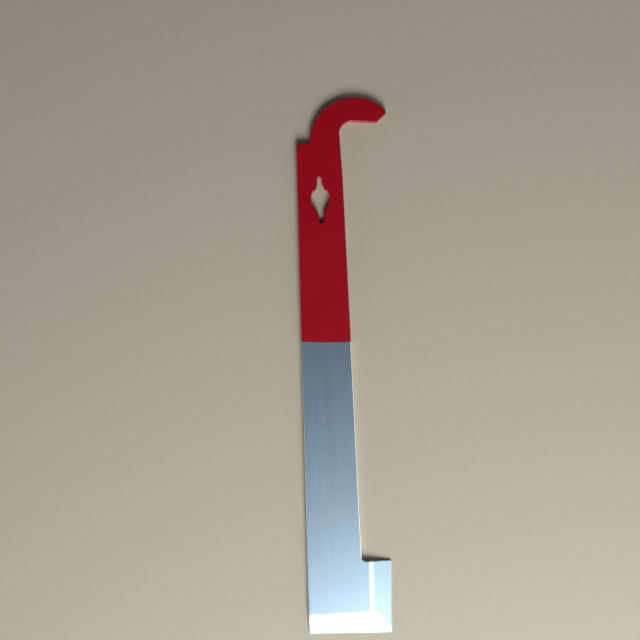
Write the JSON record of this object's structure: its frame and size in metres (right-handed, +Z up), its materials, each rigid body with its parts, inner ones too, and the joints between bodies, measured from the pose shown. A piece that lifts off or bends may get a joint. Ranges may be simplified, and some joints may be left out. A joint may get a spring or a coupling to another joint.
{
  "type": "hive tool",
  "caption": "Flat steel hive tool with a hooked frame lifter, a nail-pulling hole, a red coated grip end and a ground scraper end with a side lug.",
  "frame": {"origin": "middle of the footprint, on the surface that the tool lies on, under its back", "axes": "+Y along the bar from the scraper end towards the hook, +X towards the side that the hook tip and the lug point to, +Z up out of the ground face"},
  "size_m": [0.0448, 0.2672, 0.0032],
  "materials": {
    "bare_steel": "satin, ground lengthwise, with polished bevels",
    "red_coat": "baked red powder coat, semi-gloss"
  },
  "bodies": {
    "root": {"steel_bar": "bare_steel", "paint_coat": "red_coat"}
  },
  "joints": []
}
